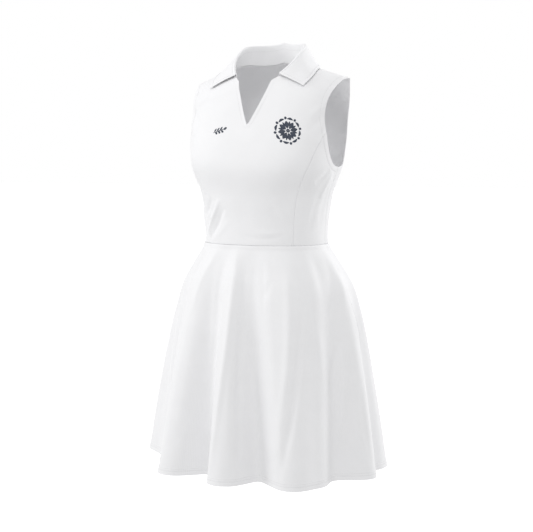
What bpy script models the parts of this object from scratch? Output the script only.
"""Sleeveless athletic dress in its worn form with nothing inside it.

Metres, +Z up. The front faces -Y and the wearer's left is +X. The origin lies between the
shoulders, level with the points where the shoulder seams meet the collar.

A point of the dress is found from an angle round the body and a height. The angle is 0 at the
centre front, 90 at the wearer's left side and 180 at the centre back, in degrees. On the bodice
the height is a share, 0 at the waist seam and 1 on the shoulder ridge. On the skirt it is a
share too, 0 at the waist seam and 1 at the hem.
"""

import math
from collections import namedtuple

import bpy
import numpy as np

# Cloth
WALL = 0.0012
SEAM_GAP = 0.0003
SIDE = 90.0
CENTRE_BACK = 180.0

# Heights
WAIST_Z = -0.366
HEM_Z = -0.830

# Shoulders: the ridge runs straight down from the neck to the tip
SIDE_NECK_X = 0.0675
SHOULDER_SLOPE = 0.33
RIDGE_Y = 0.044
SHOULDER_ROUND = 0.065  # height over which the chest and the back turn over to the ridge
TURN_SHARE = 0.78  # height share where that turn begins

# Neck hole, an oval seen from above, and the open V under it
NECK_HALF_WIDTH = 0.070
NECK_FRONT_DEPTH = 0.087
NECK_BACK_DEPTH = 0.070
NECK_CENTRE_Y = 0.020
V_TOP_X = 0.036
V_POINT_SHARE = 0.575

# Fullness that the princess seams shape on each side of the front
BUST_ANGLE = 40.0
BUST_SPREAD = 25.0
BUST_Z = -0.200
BUST_RISE = 0.065
BUST_FALL = 0.042
BUST_SHARE = 0.060

# Collar
STAND_LEAN = 0.0012
FOLD_RADIUS = 0.0030
LEAF_CLEAR = 0.0034
LEAF_DROP = 1.2  # how soon the leaf comes down from the fold to the shoulder

# Pocket in each side seam
POCKET_TOP = 0.26  # height shares of the skirt
POCKET_END = 0.46
POCKET_BAG_END = 0.62
POCKET_GAPE = 0.0022
POCKET_MOUTH = 1.0  # degrees from the side seam to the mouth of the bag
POCKET_DEPTH = 28.0  # degrees that the bag reaches forward of its mouth
POCKET_ENDS = 0.04  # share of the bag's height over which its ends are cut square
POCKET_FULLNESS = 0.4  # the lower, the squarer the bag's far edge
POCKET_SEAT = 0.0023  # how far the mouth of the bag lies under the skirt's outer side
POCKET_SINK = 0.0034
POCKET_LAYERS = 0.0042

# Grid sizes
FRONT_COLUMNS = 10
FRONT_ROWS_BELOW_V = 12
FRONT_ROWS_TO_JUNCTION = 2
FRONT_ROWS_BESIDE_V = 3
FRONT_ROWS_BESIDE_NECK = 6
SIDE_COLUMNS = 7
BACK_COLUMNS_NECK = 6
BACK_COLUMNS_SHOULDER = 7
BACK_ROWS = 18
COLLAR_COLUMNS = 40
STAND_ROWS = 2
FOLD_ROWS = 4
LEAF_ROWS = 5
SKIRT_COLUMNS = 50
SKIRT_ROWS = 13
BAG_COLUMNS = 10
BAG_ROWS = 12

Section = namedtuple("Section", "z half_width front back middle_y roundness")
BODICE_SECTIONS = (
    Section(-0.366, 0.1300, 0.0980, 0.0920, 0.000, 2.20),
    Section(-0.320, 0.1310, 0.0985, 0.0940, 0.000, 2.20),
    Section(-0.270, 0.1370, 0.1060, 0.1010, 0.002, 2.25),
    Section(-0.215, 0.1530, 0.1200, 0.1150, 0.006, 2.35),
    Section(-0.160, 0.1615, 0.1130, 0.1220, 0.009, 2.40),
    Section(-0.110, 0.1660, 0.0960, 0.1190, 0.010, 2.45),
    Section(-0.060, 0.1710, 0.0760, 0.1150, 0.010, 2.50),
    Section(0.000, 0.1740, 0.0540, 0.1080, 0.010, 2.50),
)

Ring = namedtuple("Ring", "share half_width front back roundness")
SKIRT_RINGS = (
    Ring(0.00, 0.1300, 0.0980, 0.0920, 2.20),
    Ring(0.08, 0.1530, 0.1110, 0.1110, 2.15),
    Ring(0.18, 0.1780, 0.1280, 0.1360, 2.10),
    Ring(0.30, 0.1930, 0.1420, 0.1530, 2.05),
    Ring(0.50, 0.2110, 0.1590, 0.1720, 2.00),
    Ring(0.75, 0.2280, 0.1750, 0.1900, 2.00),
    Ring(1.00, 0.2420, 0.1880, 0.2060, 2.00),
)

# Folds of the skirt: angle at the waist and at the hem, how far the hem stands out or in
# there, and the angle on each side over which the fold dies away
Fold = namedtuple("Fold", "waist hem reach spread")
SKIRT_FOLDS = (
    Fold(-3, -4, 0.016, 12),
    Fold(6, 15, -0.040, 13),
    Fold(34, 32, 0.018, 16),
    Fold(66, 62, -0.034, 17),
    Fold(84, 83, 0.010, 10),
    Fold(95, 94, -0.010, 9),
    Fold(108, 110, 0.016, 14),
    Fold(124, 128, -0.026, 15),
    Fold(142, 147, 0.022, 15),
    Fold(160, 164, -0.030, 13),
    Fold(-17, -19, -0.040, 11),
    Fold(-34, -35, 0.030, 14),
    Fold(-58, -59, -0.040, 18),
    Fold(-86, -88, 0.038, 14),
    Fold(-104, -106, -0.014, 12),
    Fold(-122, -125, 0.020, 15),
    Fold(-142, -147, -0.028, 16),
    Fold(-164, -168, 0.020, 14),
)
FOLD_GROWTH = 0.85

# The princess seam and the armhole, as angles at height shares of the bodice
Mark = namedtuple("Mark", "share angle")
PRINCESS = (
    Mark(0.000, 43.0),
    Mark(0.150, 43.5),
    Mark(0.290, 45.0),
    Mark(0.400, 47.6),
    Mark(0.480, 50.8),
    Mark(0.560, 55.6),
    Mark(0.640, 62.6),
)
ARMHOLE_FRONT = (
    Mark(0.446, 90.0),
    Mark(0.456, 83.0),
    Mark(0.486, 76.0),
    Mark(0.535, 70.0),
    Mark(0.590, 65.8),
    Mark(0.640, 62.6),
    Mark(0.700, 59.2),
    Mark(0.800, 58.5),
    Mark(0.900, 64.0),
    Mark(1.000, 72.0),
)
ARMHOLE_BACK = (
    Mark(0.446, 90.0),
    Mark(0.451, 99.0),
    Mark(0.470, 107.0),
    Mark(0.520, 113.0),
    Mark(0.610, 116.0),
    Mark(0.720, 117.5),
    Mark(0.820, 117.0),
    Mark(0.910, 114.0),
    Mark(1.000, 108.0),
)

# Collar: angle round the neck hole from the centre back, height of the fold over the neck
# edge, reach of the leaf from the neck edge and the way it falls, from +X towards +Y
Leaf = namedtuple("Leaf", "angle stand reach bearing")
COLLAR_LEAF = (
    Leaf(0.0, 0.042, 0.020, 90.0),
    Leaf(40.0, 0.042, 0.022, 55.0),
    Leaf(75.0, 0.037, 0.028, 18.0),
    Leaf(98.0, 0.025, 0.035, 4.0),
    Leaf(120.0, 0.012, 0.045, -2.0),
    Leaf(137.0, 0.006, 0.051, -4.0),
)


def read(rows, key, value, at):
    """One column of a table, read smoothly at places along another column."""
    places = np.array([getattr(row, key) for row in rows], float)
    values = np.array([getattr(row, value) for row in rows], float)
    if places[0] > places[-1]:
        places, values = places[::-1], values[::-1]
    slopes = np.gradient(values, places)
    at = np.clip(np.asarray(at, float), places[0], places[-1])
    left = np.clip(np.searchsorted(places, at) - 1, 0, len(places) - 2)
    width = places[left + 1] - places[left]
    s = (at - places[left]) / width
    return (
        values[left] * (1 + 2 * s) * (1 - s) ** 2
        + values[left + 1] * s**2 * (3 - 2 * s)
        + width * (slopes[left] * s * (1 - s) ** 2 - slopes[left + 1] * s**2 * (1 - s))
    )


def between(low, high, inside, steps=40):
    """Halves the span from low, where inside holds, to high, where it doesn't, to the place between."""
    for _ in range(steps):
        middle = (low + high) / 2
        held = inside(middle)
        low = np.where(held, middle, low)
        high = np.where(held, high, middle)
    return (low + high) / 2


def ridge_height(x):
    return SHOULDER_SLOPE * (SIDE_NECK_X - np.abs(x))


def turned_over(x, z, section_y):
    """Draws the section's y back to the ridge as z nears the ridge's height over x."""
    rise = np.clip((z - ridge_height(x) + SHOULDER_ROUND) / SHOULDER_ROUND, 0, 1)
    return RIDGE_Y + (section_y - RIDGE_Y) * np.sqrt(1 - rise**2)


def bust(angle, z):
    """How much fuller the section is, as a share, over each side of the front."""
    across = np.exp(-(((np.abs(angle) - BUST_ANGLE) / BUST_SPREAD) ** 2))
    reach = np.where(z > BUST_Z, BUST_RISE, BUST_FALL)
    return BUST_SHARE * across * np.exp(-(((z - BUST_Z) / reach) ** 2))


def bodice(angle, share):
    angle, share = np.broadcast_arrays(np.asarray(angle, float), np.asarray(share, float))
    sine, cosine = np.sin(np.radians(angle)), np.cos(np.radians(angle))
    turn = np.clip((share - TURN_SHARE) / (1 - TURN_SHARE), 0, 1)
    x = 0.16 * sine
    for _ in range(4):
        turn_z = ridge_height(x) - SHOULDER_ROUND
        z = WAIST_Z + (turn_z - WAIST_Z) * np.minimum(share / TURN_SHARE, 1)
        z = z + SHOULDER_ROUND * np.sin(turn * math.pi / 2)
        power = 2 / read(BODICE_SECTIONS, "z", "roundness", z)
        full = 1 + bust(angle, z)
        x = full * read(BODICE_SECTIONS, "z", "half_width", z) * np.sign(sine) * np.abs(sine) ** power
    front = read(BODICE_SECTIONS, "z", "front", z)
    back = read(BODICE_SECTIONS, "z", "back", z)
    depth = np.where(cosine > 0, -front, back) * np.abs(cosine) ** power
    y = turned_over(x, z, read(BODICE_SECTIONS, "z", "middle_y", z) + full * depth)
    return np.stack([x, y, z], axis=-1)


def shoulder_z(x, y):
    """Height of the bodice over a place on the floor plan, near the shoulders."""
    x, y = np.asarray(x, float), np.asarray(y, float)
    ahead = y < RIDGE_Y

    def below(z):
        power = read(BODICE_SECTIONS, "z", "roundness", z)
        across = np.clip(np.abs(x) / read(BODICE_SECTIONS, "z", "half_width", z), 0, 1)
        deep = (1 - across**power) ** (1 / power)
        front = read(BODICE_SECTIONS, "z", "front", z)
        back = read(BODICE_SECTIONS, "z", "back", z)
        middle = read(BODICE_SECTIONS, "z", "middle_y", z)
        surface = turned_over(x, z, middle + np.where(ahead, -front, back) * deep)
        return np.where(ahead, surface < y, surface > y)

    top = ridge_height(x)
    return between(top - 0.16, top + 0 * y, below)


def skirt(angle, share):
    angle, share = np.broadcast_arrays(np.asarray(angle, float), np.asarray(share, float))
    sine, cosine = np.sin(np.radians(angle)), np.cos(np.radians(angle))
    power = 2 / read(SKIRT_RINGS, "share", "roundness", share)
    x = read(SKIRT_RINGS, "share", "half_width", share) * np.sign(sine) * np.abs(sine) ** power
    front = read(SKIRT_RINGS, "share", "front", share)
    back = read(SKIRT_RINGS, "share", "back", share)
    y = np.where(cosine > 0, -front, back) * np.abs(cosine) ** power
    reach = np.zeros_like(x)
    for fold in SKIRT_FOLDS:
        middle = fold.waist + (fold.hem - fold.waist) * share
        away = np.abs((angle - middle + 180) % 360 - 180) / fold.spread
        reach += fold.reach * share**FOLD_GROWTH * np.where(away < 1, (1 + np.cos(math.pi * away)) / 2, 0)
    radius = np.hypot(x, y)
    z = WAIST_Z + (HEM_Z - WAIST_Z) * share
    return np.stack([x * (1 + reach / radius), y * (1 + reach / radius), z], axis=-1)


def neck_edge(angle):
    """A point of the neck hole, at an angle from the centre back."""
    turned = np.radians(angle)
    x = NECK_HALF_WIDTH * np.sin(turned)
    y = NECK_CENTRE_Y + neck_depth(np.cos(turned)) * np.cos(turned)
    return np.stack([x, y, shoulder_z(x, y)], axis=-1)


def neck_depth(back):
    """Half depth of the neck hole behind its centre or before it."""
    return np.where(back > 0, NECK_BACK_DEPTH, NECK_FRONT_DEPTH)


def in_neck_hole(points):
    back = points[..., 1] - NECK_CENTRE_Y
    return np.hypot(points[..., 0] / NECK_HALF_WIDTH, back / neck_depth(back)) < 1


def lifted(x, y, lift):
    """The point of the shoulders over a place on the floor plan, moved out by lift."""
    step = 0.0005
    slope_x = (shoulder_z(x + step, y) - shoulder_z(x - step, y)) / (2 * step)
    slope_y = (shoulder_z(x, y + step) - shoulder_z(x, y - step)) / (2 * step)
    out = np.stack([-slope_x, -slope_y, np.ones_like(x)], axis=-1)
    out /= np.linalg.norm(out, axis=-1, keepdims=True)
    return np.stack([x, y, shoulder_z(x, y)], axis=-1) + lift * out


def spaced(start, end, steps):
    return np.linspace(start, end, steps + 1)


def unit(vectors):
    return vectors / np.linalg.norm(vectors, axis=-1, keepdims=True)


def wall(surface, angle, share):
    """The outer and the inner side of the cloth, where its outer side follows a surface."""
    turn, rise = 0.01, 0.0001
    angle, share = np.broadcast_arrays(np.asarray(angle, float), np.asarray(share, float))
    lower, upper = np.maximum(share - rise, 0), np.minimum(share + rise, 1)
    round_body = surface(angle + turn, share) - surface(angle - turn, share)
    outward = np.cross(round_body, surface(angle, upper) - surface(angle, lower))
    points = surface(angle, share)
    if surface is skirt:
        outward = -outward
    return np.stack([points, points - WALL * unit(outward)])


def wall_of_grid(outer):
    """The outer and the inner side of the cloth, where its outer side is a grid of points."""
    outward = np.cross(np.gradient(outer, axis=1), np.gradient(outer, axis=0))
    return np.stack([outer, outer - WALL * unit(outward)])


def drawn_in(sides, edges):
    """Moves the named edges of a wall in by half the seam gap."""
    sides = sides.copy()
    picks = {
        "left": ((slice(None), 0), (slice(None), 1)),
        "right": ((slice(None), -1), (slice(None), -2)),
        "first": ((0,), (1,)),
        "last": ((-1,), (-2,)),
    }
    for name in edges.split():
        edge, beside = picks[name]
        sides[(slice(None), *edge)] += SEAM_GAP / 2 * unit(sides[0][beside] - sides[0][edge])
    return sides


def white_cloth(name, colour, roughness):
    material = bpy.data.materials.new(name)
    material.use_nodes = True
    shader = material.node_tree.nodes["Principled BSDF"]
    shader.inputs["Base Color"].default_value = (*colour, 1)
    shader.inputs["Roughness"].default_value = roughness
    shader.inputs["Metallic"].default_value = 0
    return material


def faces_of(rows, columns, first=0):
    """The faces of a grid whose points are numbered row by row."""
    return [
        (
            first + r * columns + c,
            first + r * columns + c + 1,
            first + (r + 1) * columns + c + 1,
            first + (r + 1) * columns + c,
        )
        for r in range(rows - 1)
        for c in range(columns - 1)
    ]


def panel(name, outer, inner, faces, material):
    """A wall of cloth from the points of its outer and inner side and the faces of the outer one."""
    count = len(outer)
    once = {}
    for face in faces:
        for start, end in zip(face, face[1:] + face[:1]):
            if once.pop((end, start), None) is None:
                once[start, end] = True
    back = [tuple(count + corner for corner in reversed(face)) for face in faces]
    rim = [(end, start, count + start, count + end) for start, end in once]
    mesh = bpy.data.meshes.new(name)
    mesh.from_pydata([tuple(p) for p in (*outer, *inner)], [], faces + back + rim)
    mesh.update()
    mesh.shade_smooth()
    mesh.set_sharp_from_angle(angle=math.radians(50))
    mesh.materials.append(material)
    piece = bpy.data.objects.new(name, mesh)
    bpy.context.scene.collection.objects.link(piece)
    return piece


def grid_panel(name, sides, material):
    rows, columns = sides.shape[1:3]
    outer, inner = sides.reshape(2, -1, 3)
    return panel(name, outer, inner, faces_of(rows, columns), material)


def mirrored(sides):
    """The same wall on the other side of the body."""
    return sides[:, :, ::-1] * (-1, 1, 1)


def front_edge_angle(share):
    """Outer edge of the centre panel: the princess seam, then the armhole."""
    junction = PRINCESS[-1].share
    return np.where(
        share < junction,
        read(PRINCESS, "share", "angle", share),
        read(ARMHOLE_FRONT, "share", "angle", share),
    )


def neck_angle(share):
    """Angle on the front where the neck hole's edge crosses a height."""
    return between(np.zeros_like(share), np.full_like(share, 60.0), lambda a: in_neck_hole(bodice(a, share)))


def v_top_share():
    """Height share at which the V reaches the neck hole."""
    share = between(
        np.array([TURN_SHARE - 0.1]),
        np.array([1.0]),
        lambda s: bodice(neck_angle(s), s)[..., 0] < V_TOP_X,
    )
    return float(share[0])


def front_centre(material):
    v_top = v_top_share()
    lower = spaced(0, V_POINT_SHARE, FRONT_ROWS_BELOW_V)
    upper = np.concatenate(
        [
            spaced(V_POINT_SHARE, PRINCESS[-1].share, FRONT_ROWS_TO_JUNCTION)[1:],
            spaced(PRINCESS[-1].share, v_top, FRONT_ROWS_BESIDE_V)[1:],
            spaced(v_top, 1, FRONT_ROWS_BESIDE_NECK)[1:],
        ]
    )
    across = spaced(-1, 1, 2 * FRONT_COLUMNS)
    body = wall(bodice, across * front_edge_angle(lower)[:, None], lower[:, None])
    body = drawn_in(body, "left right first")

    v_angle = float(neck_angle(np.array([v_top]))[0])
    v_slant = np.clip((upper - V_POINT_SHARE) / (v_top - V_POINT_SHARE), 0, 1)
    inner_angle = np.where(upper > v_top, neck_angle(upper), v_angle * v_slant)
    steps = spaced(0, 1, FRONT_COLUMNS)
    angles = inner_angle[:, None] + (front_edge_angle(upper) - inner_angle)[:, None] * steps
    horn = drawn_in(wall(bodice, angles, upper[:, None]), "right last")

    rows, columns = len(lower), len(across)
    width = FRONT_COLUMNS + 1
    sides = [body.reshape(2, -1, 3)]
    faces = faces_of(rows, columns)
    middle_of_last_row = (rows - 1) * columns + FRONT_COLUMNS
    for side in (1, -1):
        first = sum(len(points[0]) for points in sides)
        sides.append((horn * (side, 1, 1)).reshape(2, -1, 3))
        sewn = faces_of(len(upper), width, first)
        foot = [middle_of_last_row + side * c for c in range(width)]
        sewn += [(foot[c], foot[c + 1], first + c + 1, first + c) for c in range(width - 1)]
        faces += sewn if side > 0 else [face[::-1] for face in sewn]
    outer, inner = np.concatenate(sides, axis=1)
    return panel("front_centre", outer, inner, faces, material)


def front_side(name, side, material):
    top = PRINCESS[-1]
    across = spaced(0, 1, SIDE_COLUMNS)
    seam_shares = np.append(
        spaced(0, V_POINT_SHARE, FRONT_ROWS_BELOW_V),
        spaced(V_POINT_SHARE, top.share, FRONT_ROWS_TO_JUNCTION)[1:],
    )[:, None]
    up = seam_shares / top.share
    edge_angle = top.angle + (SIDE - top.angle) * across
    lower_armhole = [mark for mark in ARMHOLE_FRONT if mark.share <= top.share]
    edge_share = read(lower_armhole, "angle", "share", edge_angle)
    seam = read(PRINCESS, "share", "angle", seam_shares)
    sides = wall(bodice, seam + (SIDE - seam) * across, up * edge_share)
    sides = drawn_in(sides, "left right first")
    return grid_panel(name, sides if side > 0 else mirrored(sides), material)


def back_angle(column, share):
    """Angle of a column of the back, from -1 at one armhole through 0 in the middle to 1."""
    edge = np.where(share < ARMHOLE_BACK[0].share, SIDE, read(ARMHOLE_BACK, "share", "angle", share))
    return CENTRE_BACK + column * (CENTRE_BACK - edge)


def back_bodice(material):
    neck_side = float(
        between(
            np.array([0.0]),
            np.array([1.0]),
            lambda column: in_neck_hole(bodice(back_angle(column, 1.0), 1.0)),
        )[0]
    )
    half = np.concatenate(
        [spaced(0, neck_side, BACK_COLUMNS_NECK), spaced(neck_side, 1, BACK_COLUMNS_SHOULDER)[1:]]
    )
    across = np.concatenate([-half[:0:-1], half])
    top = between(
        np.ones_like(across),
        np.full_like(across, TURN_SHARE),
        lambda share: in_neck_hole(bodice(back_angle(across, share), share)),
    )
    top = np.where(np.abs(across) < neck_side - 1e-6, top, 1.0)
    shares = spaced(0, 1, BACK_ROWS)[:, None] * top
    sides = wall(bodice, back_angle(across, shares), shares)
    return grid_panel("back_bodice", drawn_in(sides, "left right first last"), material)


def skirt_panel(name, start, end, material):
    """A flared panel between two side seams, whose edges stand open at the pockets."""
    angles = spaced(start, end, SKIRT_COLUMNS)
    shares = spaced(1, 0, SKIRT_ROWS)
    sides = drawn_in(wall(skirt, angles, shares[:, None]), "left right last")
    opening = np.sin(math.pi * np.clip((shares - POCKET_TOP) / (POCKET_END - POCKET_TOP), 0, 1))
    for edge, beside in ((0, 1), (-1, -2)):
        inward = unit(sides[0, :, beside] - sides[0, :, edge])
        sides[:, :, edge] += inward * (POCKET_GAPE * opening)[:, None]
    return grid_panel(name, sides, material)


def pocket_bag(name, side, material):
    """A bag of one folded piece, hung in the side seam and open towards the slit."""
    shares = spaced(POCKET_BAG_END, POCKET_TOP, BAG_ROWS)[:, None]
    along = (shares - POCKET_TOP) / (POCKET_BAG_END - POCKET_TOP)
    along = np.clip(along, POCKET_ENDS, 1 - POCKET_ENDS)
    reach = POCKET_DEPTH * np.sin(math.pi * along) ** POCKET_FULLNESS
    forward = np.concatenate([spaced(0, 1, BAG_COLUMNS), spaced(1, 0, BAG_COLUMNS)])
    layer = np.repeat([0, 1], BAG_COLUMNS + 1)
    outer, inner = wall(skirt, side * (SIDE - POCKET_MOUTH - reach * forward), shares)
    sink = POCKET_SEAT + (POCKET_SINK - POCKET_SEAT) * np.sqrt(forward) + POCKET_LAYERS * layer
    grid = outer + (inner - outer) / WALL * sink[:, None]
    return grid_panel(name, wall_of_grid(grid[:, ::-side]), material)


def collar(material):
    """One piece: the stand rises from the neck edge, folds over and falls as the leaf."""
    end = COLLAR_LEAF[-1].angle
    angles = spaced(-end, end, COLLAR_COLUMNS)
    side = np.where(angles < 0, -1.0, 1.0)
    base = neck_edge(angles)
    back = base[:, 1] - NECK_CENTRE_Y
    normal = unit(np.column_stack([base[:, 0] / NECK_HALF_WIDTH**2, back / neck_depth(back) ** 2]))
    stand = read(COLLAR_LEAF, "angle", "stand", np.abs(angles))
    reach = read(COLLAR_LEAF, "angle", "reach", np.abs(angles))
    bearing = np.radians(read(COLLAR_LEAF, "angle", "bearing", np.abs(angles)))
    fall = np.stack([side * np.cos(bearing), np.sin(bearing)], axis=-1)

    rows = []
    turn_z = base[:, 2] + stand - FOLD_RADIUS
    for up in spaced(0, 1, STAND_ROWS)[:-1]:
        foot = base[:, 2] + SEAM_GAP
        plan = base[:, :2] - normal * (WALL + STAND_LEAN * up)
        rows.append(np.column_stack([plan, foot + (turn_z - foot) * up]))
    for turn in spaced(math.pi, 0, FOLD_ROWS):
        out = FOLD_RADIUS * (1 + math.cos(turn)) - WALL - STAND_LEAN
        rows.append(np.column_stack([base[:, :2] + normal * out, turn_z + FOLD_RADIUS * math.sin(turn)]))
    start = rows[-1]
    under = lifted(start[:, 0], start[:, 1], LEAF_CLEAR)
    for along in spaced(0, 1, LEAF_ROWS)[1:]:
        plan = start[:, :2] + fall * (reach * along)[:, None]
        lying = lifted(plan[:, 0], plan[:, 1], LEAF_CLEAR)
        lying[:, 2] += np.maximum(start[:, 2] - under[:, 2], 0) * (1 - along) ** LEAF_DROP
        rows.append(lying)
    return grid_panel("collar", wall_of_grid(np.array(rows)), material)


def build():
    for old in list(bpy.data.objects):
        bpy.data.objects.remove(old)
    body_knit = white_cloth("white_knit", (0.90, 0.90, 0.91), 0.62)
    collar_knit = white_cloth("white_collar_knit", (0.91, 0.91, 0.92), 0.66)
    lining_knit = white_cloth("white_pocketing", (0.86, 0.86, 0.87), 0.72)
    front_centre(body_knit)
    front_side("front_side_left", 1, body_knit)
    front_side("front_side_right", -1, body_knit)
    back_bodice(body_knit)
    collar(collar_knit)
    skirt_panel("skirt_front", -SIDE, SIDE, body_knit)
    skirt_panel("skirt_back", SIDE, 2 * CENTRE_BACK - SIDE, body_knit)
    pocket_bag("pocket_bag_left", 1, lining_knit)
    pocket_bag("pocket_bag_right", -1, lining_knit)


build()
